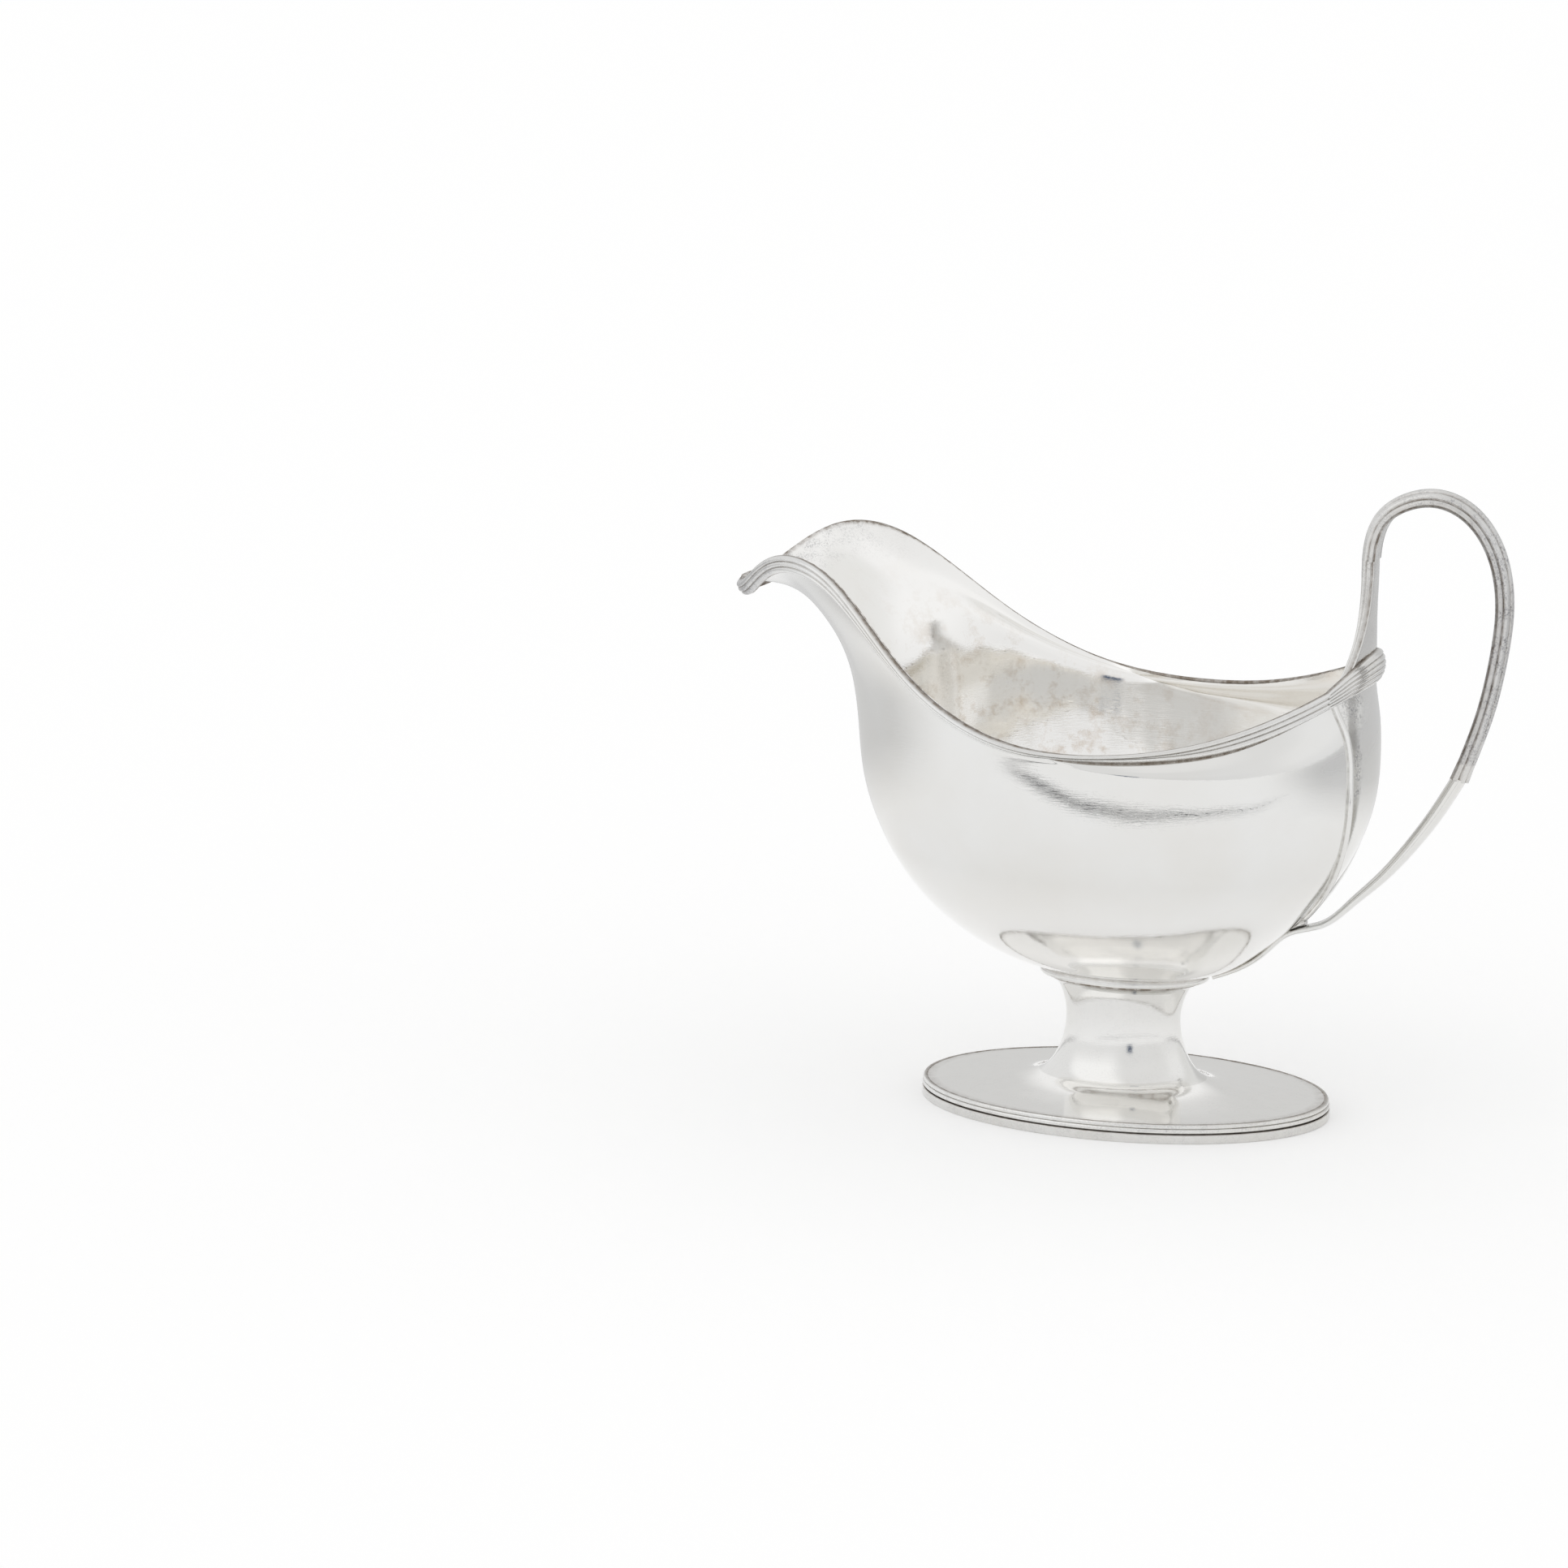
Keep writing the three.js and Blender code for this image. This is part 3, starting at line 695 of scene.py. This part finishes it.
def make_wire(side):
    heights = np.linspace(125, PANEL["tip"] + 0.8, 90)
    t = np.linspace(0.3, 1, 500)
    edge = panel_edge(t)
    z = wall_at(edge, t)[:, 2]
    t_at = np.interp(heights, z, t)
    angle = np.interp(t_at, t, edge)
    place = angle if side < 0 else 360 - angle
    centre = wall_at(place, t_at, WIRE_RADIUS * 0.35)
    out = unit(wall_at(place, t_at, 1.0) - wall_at(place, t_at, 0.0))
    along = unit(np.gradient(centre, axis=0))
    across = unit(np.cross(along, out))
    rings, grime = [], []
    for k in range(14):
        a = 2 * math.pi * k / 14
        rings.append(centre + WIRE_RADIUS * (math.cos(a) * out + math.sin(a) * across))
        grime.append(np.full(len(centre), max(0.0, 0.8 * (0.15 - math.cos(a)))))
    rings = np.stack(rings, axis=1)
    points, faces, source = solid(rings)
    marks = {"grime": np.stack(grime, axis=1), "wear": 0.1}
    word = side_word(side)
    name, nodes = f"seam_wire_{word}", [f"panel_wire_{word}"]
    make_piece(name, points, faces, panel_silver, nodes, marks, source)


# ---- the handle ----
def plane_curve(path):
    return even_spline([(x, 0, z) for x, z in path])


def sweep(path, count, section_at):
    """Rings of a section along a curve in the XZ plane. section_at(t) gives arrays across and outward."""
    points, along = by_length(plane_curve(path), count)
    out = np.stack([-along[:, 2], np.zeros(count), along[:, 0]], axis=1)
    rings = []
    for i in range(count):
        across, outward = section_at(i / (count - 1))
        ring = points[i] + out[i] * np.asarray(outward)[:, None]
        ring[:, 1] = across
        rings.append(ring)
    return np.array(rings)


def strap_section(width, depth):
    """Half-round section with five reeds over its outside and a plain, slightly hollow inside."""
    along, bulge = reeds(5, 9, sizes=[0.8, 1, 1.25, 1, 0.8])
    turn = math.pi * (1 - along)
    low, high = -0.43 * depth, 0.57 * depth
    height = 0.5
    radial = 1 - 0.24 * (1 - bulge)
    across = width / 2 * np.cos(turn) * radial
    out = low + height + (high - low - height) * np.sin(turn) * radial
    inner = np.linspace(0.44, -0.44, 9)
    across = np.concatenate([across, inner * width])
    out = np.concatenate([out, low + 0.2 * np.cos(inner * math.pi)])
    # Painted shade: extra grime toward both edges of the half-round stands for its darker sides; the rest is
    # tarnish in the grooves.
    painted_edge_shade = np.abs(2 * along - 1) ** 3
    crease = np.concatenate([np.clip(1.15 - bulge / 0.65, 0, 1) * 0.9 + 0.3 * painted_edge_shade, np.full(9, 0.1)])
    crease = np.clip(crease, 0, 1)
    return across, out, crease


def make_loop():
    across, out, crease = strap_section(STRAP["width"], STRAP["depth"])
    count = 260
    rings = sweep(LOOP_PATH, count, lambda t: (across, out))
    points, faces, source = solid(rings)
    wear = np.repeat(np.clip(np.linspace(0.2, 1.5, count), 0.4, 1), len(across))
    # The grime holds groove tarnish and painted shade toward the strap's edges.
    marks = {"grime": np.tile(crease, count), "wear": wear}
    make_piece("reeded_loop", points, faces, strap_silver, ["handle_loop"], marks, source)


def root_face(across, rise):
    """Outside face of the handle's root: from -1 to 1 across it, from 0 at the rim to 1 at the strap."""
    foot = rim_at((180 - ROOT["angle"] * across) / 360)
    sweep_up = 1 - (1 - rise) ** 2.4
    x = foot[0] + (ROOT["face"] - 0.5 * across**2 - foot[0]) * sweep_up
    y = foot[1] + (-across * STRAP["width"] / 2 - foot[1]) * sweep_up
    z = foot[2] + (ROOT["top"] + 0.4 - foot[2]) * rise
    return np.array([x, y, z])


def make_root():
    """The leg under the loop: plain outside, reeded behind, its edge reeds following the flare to the rim."""
    across, out, crease = strap_section(STRAP["width"], STRAP["depth"])
    low = out.min()
    edge = STRAP["width"] * 0.24
    rows = 130
    rings = []
    for i in range(rows):
        rise = i / (rows - 1)
        turn_in = smoother(rise * 1.1)
        half = abs(root_face(1, rise)[1])
        ring = []
        for a, o in zip(across, out):
            size = abs(a)
            if size > edge:
                y = half - (STRAP["width"] / 2 - size)
            else:
                y = size / edge * (half - (STRAP["width"] / 2 - edge))
            y = math.copysign(y, a)
            flat_thick = ROOT["sheet"] * (o - low) / (out.max() - low)
            if size > edge:
                flat_thick = 0.75 * (o - low)
            thick = flat_thick * (1 - turn_in) + (o - low) * turn_in
            face = root_face(-y / half, rise)
            ring.append((face[0] - thick, y, face[2]))
        rings.append(ring)
    points, faces, source = solid(rings)
    edge_share = np.maximum(np.clip((np.abs(across) - edge * 0.8) / edge, 0, 1), 0.3)
    rise = np.linspace(0, 1, rows)[:, None]
    near_top = smoother((rise - 0.7) / 0.3)
    # The grime holds groove tarnish and painted shade toward the strap's edges.
    marks = {
        "grime": crease * (edge_share * (1 - near_top) + near_top),
        "wear": 0.12 + 0.28 * rise * np.ones(len(across)),
    }
    make_piece("handle_root_leg", points, faces, strap_silver, ["handle_root"], marks, source)


def lens(width, depth, count=24):
    a = np.linspace(0, 2 * math.pi, count, endpoint=False)
    return width / 2 * np.cos(a), depth / 2 * np.sin(a)


def make_step():
    """The strap's reeded end, which thickens a little and then stops short on the plain tail."""

    def section(t):
        across, out, _ = strap_section(STRAP["width"] * (1 - 0.1 * t), STRAP["depth"] * (1 + 0.1 * t))
        return across, out

    _, _, crease = strap_section(1, 1)
    count = 30
    points, faces, source = solid(sweep(STEP_PATH, count, section))
    # The grime holds groove tarnish and painted shade toward the strap's edges.
    marks = {"grime": np.tile(crease, count), "wear": 0.5}
    make_piece("strap_end_step", points, faces, strap_silver, ["handle_step"], marks, source)


def under_keel(x, out):
    t = np.linspace(0, 0.6, 400)
    position = np.interp(x, wall_at(180, t)[:, 0], t)
    return wall_at(180, position, out)


def tail_path():
    keel = [under_keel(x, TAIL["end_depth"] / 2 - 0.25) for x in TAIL_KEEL]
    return [*TAIL_PATH, *[(p[0], p[2]) for p in keel]]


def make_tail():
    count = 220

    def section(t):
        width = TAIL["width"] + (TAIL["end_width"] - TAIL["width"]) * t
        depth = TAIL["depth"] + (TAIL["end_depth"] - TAIL["depth"]) * smoother(t * 1.15)
        return lens(width, depth)

    rings = sweep(tail_path(), count, section)
    points, faces, source = solid(rings)
    near_end = np.repeat(np.clip((np.linspace(0, 1, count) - 0.7) / 0.3, 0, 1), rings.shape[1])
    upper = np.tile(np.clip(-lens(1, 2)[1], 0, 1), count)
    marks = {"grime": near_end * upper * 0.4, "wear": 0.05}
    make_piece("handle_tail_bar", points, faces, handle_silver, ["handle_tail"], marks, source)


def make_saddle():
    tail, along = by_length(plane_curve(tail_path()), 200)
    out = np.stack([-along[:, 2], np.zeros(200), along[:, 0]], axis=1)
    picks = [i for i in range(200) if 45.5 < tail[i, 0] < 52.5]
    rings = []
    for i in picks:
        low = tail[i] - out[i] * 1.0
        high = under_keel(low[0] - 0.6, -0.3)
        ring = []
        for a in np.linspace(0, 2 * math.pi, 20, endpoint=False):
            height = 0.5 - 0.5 * math.cos(a)
            p = low * (1 - height) + high * height
            p[1] = 2.2 * math.sin(a)
            ring.append(p)
        rings.append(ring)
    points, faces, source = solid(rings)
    marks = {"grime": 0.35, "wear": 0.1}
    make_piece("tail_saddle", points, faces, handle_silver, ["handle_saddle"], marks, source)


# ---- the foot ----
FOOT_AROUND = 260
STEM_STEPS = 130


def oval_rings(outline, around):
    """Rings across an oval solid from its closed outline of half lengths and heights."""
    outline = np.asarray(outline, float)
    angles = np.linspace(0, 2 * math.pi, around, endpoint=False)
    rings = []
    for a in angles:
        r = outline[:, 0]
        middle = STEM_X * r / FOOT_REACH
        ring = np.stack([middle + r * math.cos(a), r * OVAL * math.sin(a), outline[:, 1]], axis=1)
        rings.append(ring)
    return np.array(rings)


def oval_piece(name, outline, around, material, nodes, grime, wear=0.1, uneven=0.0, seed=7, painted_light=0.0):
    rings = oval_rings(outline, around)
    if uneven:
        rings[..., 2] += waves(rings, 17, uneven, seed)
    points, faces, source = solid(rings, closed_rings=True)
    # The inside mark carries painted light: lighter silver at each outline point.
    marks = {
        "grime": np.tile(np.asarray(grime, float), around),
        "wear": wear,
        "inside": np.tile(np.broadcast_to(painted_light, len(outline)), around),
    }
    return make_piece(name, points, faces, material, nodes, marks, source)


def make_pedestal():
    curve = even_spline(STEM)
    outer = curve(np.linspace(0, 1, STEM_STEPS))
    along = unit(np.gradient(outer, axis=0))
    across = np.stack([along[:, 1], -along[:, 0]], axis=1)
    inner = outer + across * SHEET
    outline = np.concatenate([outer, inner[::-1]])
    top = np.clip(1 - np.arange(STEM_STEPS) / 6, 0, 1)
    rim = np.clip((np.arange(STEM_STEPS) - STEM_STEPS + 6) / 5, 0, 1)
    grime = np.concatenate([np.maximum(top, 0.4 * rim), np.full(STEM_STEPS, 0.3)])
    # Painted light: the foot's silver is made lighter where its outline lies below 9 mm, over the plate, and
    # only a little elsewhere.
    painted_light = np.where(outline[:, 1] < 9, 1.0, 0.15)
    nodes = ["pedestal"]
    oval_piece(
        "pedestal_foot", outline, FOOT_AROUND, foot_silver, nodes, grime, 0.06, 0.07, painted_light=painted_light
    )


def reed_outline(outer_edge, inner_edge, bottom, top, steps=12):
    middle, half = (bottom + top) / 2, (top - bottom) / 2
    outline, grime = [(inner_edge, bottom)], [1.0]
    for i in range(steps + 1):
        a = -math.pi / 2 + math.pi * i / steps
        outline.append((outer_edge - half + half * math.cos(a), middle + half * math.sin(a)))
        grime.append(max(0.0, abs(math.sin(a)) - 0.8) * 3)
    outline.append((inner_edge, top))
    grime.append(1.0)
    return outline, grime


def make_foot_edge():
    for name, node, reach, inside, bottom, top in FOOT_REEDS:
        outline, grime = reed_outline(reach, inside, bottom, top)
        oval_piece(name, outline, FOOT_AROUND, edge_silver, [node], grime, 0.3)
    inside, top, round_off = FOOT_REACH - BASE_BAND["width"], BASE_BAND["top"], BASE_BAND["round"]
    outline = [(inside, 0)]
    for start, middle in ((-math.pi / 2, round_off), (0.0, top - round_off)):
        for i in range(7):
            a = start + math.pi / 2 * i / 6
            outline.append((FOOT_REACH - round_off + round_off * math.cos(a), middle + round_off * math.sin(a)))
    outline.append((inside, top))
    grime = [1.0] + [0.4 - 0.05 * i for i in range(7)] + [0.1 + 0.14 * i for i in range(7)] + [1.0]
    oval_piece("foot_bottom_band", outline, FOOT_AROUND, edge_silver, ["base_band"], grime, 0.2)


def make_collar():
    outline = [(reach, height) for reach, height, _ in COLLAR]
    grime = [dirt for _, _, dirt in COLLAR]
    nodes = ["foot_collar"]
    oval_piece("foot_collar_lip", outline, 200, edge_silver, nodes, grime, 0.1, 0.1, 11)


make_bowl()
make_panel()
for side in (-1, 1):
    make_moulding(side)
    make_wire(side)
make_band()
make_root()
make_loop()
make_step()
make_tail()
make_saddle()
make_collar()
make_pedestal()
make_foot_edge()


# ---- floor, light and camera ----
FLOOR_HALF = 30.0  # metres
FLOOR_GLOW = 0.175  # keeps the floor near white


def make_floor():
    half = FLOOR_HALF
    mesh = bpy.data.meshes.new("floor")
    corners = [(-half, -half, 0), (half, -half, 0), (half, half, 0), (-half, half, 0)]
    mesh.from_pydata(corners, [], [(0, 1, 2, 3)])
    n = Nodes("floor_white")
    n.shader.inputs["Base Color"].default_value = (0.9, 0.9, 0.9, 1)
    n.shader.inputs["Emission Color"].default_value = (1, 1, 1, 1)
    n.shader.inputs["Emission Strength"].default_value = FLOOR_GLOW
    n.shader.inputs["Roughness"].default_value = 0.9
    n.shader.inputs["Specular IOR Level"].default_value = 0.0
    mesh.materials.append(n.material)
    floor = bpy.data.objects.new("floor", mesh)
    bpy.context.scene.collection.objects.link(floor)


# Studio walls: colour, then azimuth from and to, elevation from and to and softness of the edge, in degrees.
# Azimuth 0 is the side towards -Y and 90 the handle's end. The last, small and dark, stands for a camera.
STUDIO_BASE = (0.9, 0.9, 0.9, 1)
STUDIO = [
    ((0.95, 0.95, 0.95, 1), -180, 180, 72, 100, 14),
    ((1.1, 1.1, 1.1, 1), -68, -8, 12, 70, 10),
    ((0.86, 0.86, 0.86, 1), -8, 54, -5, 22, 8),
    ((0.88, 0.88, 0.88, 1), -8, 54, 22, 75, 10),
    ((0.96, 0.96, 0.96, 1), 66, 108, 10, 46, 9),
    ((0.84, 0.84, 0.83, 1), 112, 150, -5, 70, 14),
    ((0.66, 0.66, 0.655, 1), 150, 190, -5, 34, 10),
    ((0.66, 0.66, 0.655, 1), -190, -150, -5, 34, 10),
    ((0.10, 0.13, 0.19, 1), 3, 9, 0, 7, 0.6),
]


def make_world():
    world = bpy.data.worlds.new("studio")
    world.use_nodes = True
    tree = world.node_tree
    n = Nodes.__new__(Nodes)
    n.tree = tree
    where = n.add("ShaderNodeTexCoord").outputs["Generated"]
    parts = n.add("ShaderNodeSeparateXYZ", {0: where}).outputs
    front = n.maths("MULTIPLY", parts[1], -1.0)
    azimuth = n.maths("MULTIPLY", n.maths("ARCTAN2", parts[0], front), 180 / math.pi)
    elevation = n.maths("MULTIPLY", n.maths("ARCSINE", parts[2]), 180 / math.pi)

    def between(value, low, high, soft):
        links = {0: value, 1: low - soft, 2: low + soft}
        up = n.add("ShaderNodeMapRange", links, interpolation_type="SMOOTHSTEP")
        down = n.add("ShaderNodeMapRange", {0: value, 1: high + soft, 2: high - soft})
        return n.maths("MULTIPLY", up.outputs[0], down.outputs[0])

    colour = STUDIO_BASE
    for panel, left, right, low, high, soft in STUDIO:
        mask = n.maths("MULTIPLY", between(azimuth, left, right, soft), between(elevation, low, high, soft))
        colour = n.mix(mask, colour, panel)
    background = tree.nodes["Background"]
    tree.links.new(colour, background.inputs["Color"])
    background.inputs["Strength"].default_value = 1.0
    bpy.context.scene.world = world


def make_card(name, points, faces, colour, fade=None):
    """A card seen only in reflections, in metres, as solid as its fade says at each point."""
    mesh = bpy.data.meshes.new(name)
    mesh.from_pydata(points, [], faces)
    attribute = mesh.attributes.new("fade", "FLOAT", "POINT")
    attribute.data.foreach_set("value", np.ones(len(points)) if fade is None else fade)
    n = Nodes(name)
    n.set(n.shader, "Base Color", colour)
    n.set(n.shader, "Roughness", 1.0)
    n.set(n.shader, "Specular IOR Level", 0.0)
    n.set(n.shader, "Alpha", n.mark("fade"))
    mesh.materials.append(n.material)
    card = bpy.data.objects.new(name, mesh)
    bpy.context.scene.collection.objects.link(card)
    card.visible_camera = False
    card.visible_diffuse = False
    card.visible_shadow = False


def make_table_edge_shade_card():
    """Painted shade: a dark, slightly wavy strip on the floor, seen only in reflections, standing for the
    shaded gap at a table's near edge.
    """
    count, rows = 60, 7
    points, fade = [], []
    for i in range(count):
        s = i / (count - 1)
        wobble = 0.004 * noise.noise(Vector((7 * s, 0.3, 0.7)))
        middle = Vector((-0.20 + 0.50 * s, -0.262 + 0.16 * s + wobble, 0.0012))
        wide = 0.034 * (1 - s) ** 1.5 + 0.004
        for j in range(rows):
            t = j / (rows - 1)
            points.append((middle.x, middle.y + wide * (t - 0.5), middle.z))
            fade.append(math.sin(math.pi * t) * min(1, 5 * s) * min(1, 6 * (1 - s)))
    faces = ring_faces(count, rows, closed_around=False)
    make_card("table_edge_shade_card", points, faces, (0.16, 0.16, 0.165, 1), fade)


def make_surround_card():
    """A grey ring on the floor past the sides and the back, like the duller room beyond a table."""
    radii = np.array([0.22, 0.3, 0.4, 0.6, 1.0, 3.0, 29.0])
    strength = np.array([0, 0.18, 0.4, 0.5, 0.5, 0.45, 0.4])
    count = 73
    points, fade = [], []
    for i in range(count):
        turn = -math.pi + 2 * math.pi * i / (count - 1)
        side = smoother((abs(turn) - 0.9) / 0.8)
        for r, solidity in zip(radii, strength):
            points.append((r * math.sin(turn), -r * math.cos(turn), 0.002))
            fade.append(solidity * side)
    faces = ring_faces(count, len(radii), closed_around=False)
    make_card("surround_card", points, faces, (0.35, 0.35, 0.355, 1), fade)


AZIMUTH = math.radians(18.06)
PITCH = math.radians(13.11)
DISTANCE = 1.3797  # metres
LOOK_SIDE = -0.0955  # the view's middle from the foot's middle, across the view, in metres
LOOK_UP = 0.0903  # and up it
LENS = 111.8  # millimetres, as is the sensor
SENSOR = 36.0

# Light bounces. The silver reflects silver, so a path off it is followed for longer than Blender's usual.
ALL_BOUNCES = 24
GLOSSY_BOUNCES = 20


def make_camera():
    right = Vector((math.cos(AZIMUTH), math.sin(AZIMUTH), 0))
    level = math.cos(PITCH)
    ahead = Vector((-math.sin(AZIMUTH) * level, math.cos(AZIMUTH) * level, -math.sin(PITCH)))
    up = right.cross(ahead)
    middle = Vector((SHIFT * MM, 0, 0))
    data = bpy.data.cameras.new("camera")
    data.lens, data.sensor_width = LENS, SENSOR
    data.clip_end = 100
    camera = bpy.data.objects.new("camera", data)
    turn = Matrix((right, up, -ahead)).transposed().to_4x4()
    place = middle + right * LOOK_SIDE + up * LOOK_UP - ahead * DISTANCE
    camera.matrix_world = Matrix.Translation(place) @ turn
    bpy.context.scene.collection.objects.link(camera)
    bpy.context.scene.camera = camera


make_floor()
make_table_edge_shade_card()
make_surround_card()
make_world()
make_camera()
bpy.context.scene.view_settings.view_transform = "Standard"
bpy.context.scene.cycles.max_bounces = ALL_BOUNCES
bpy.context.scene.cycles.glossy_bounces = GLOSSY_BOUNCES
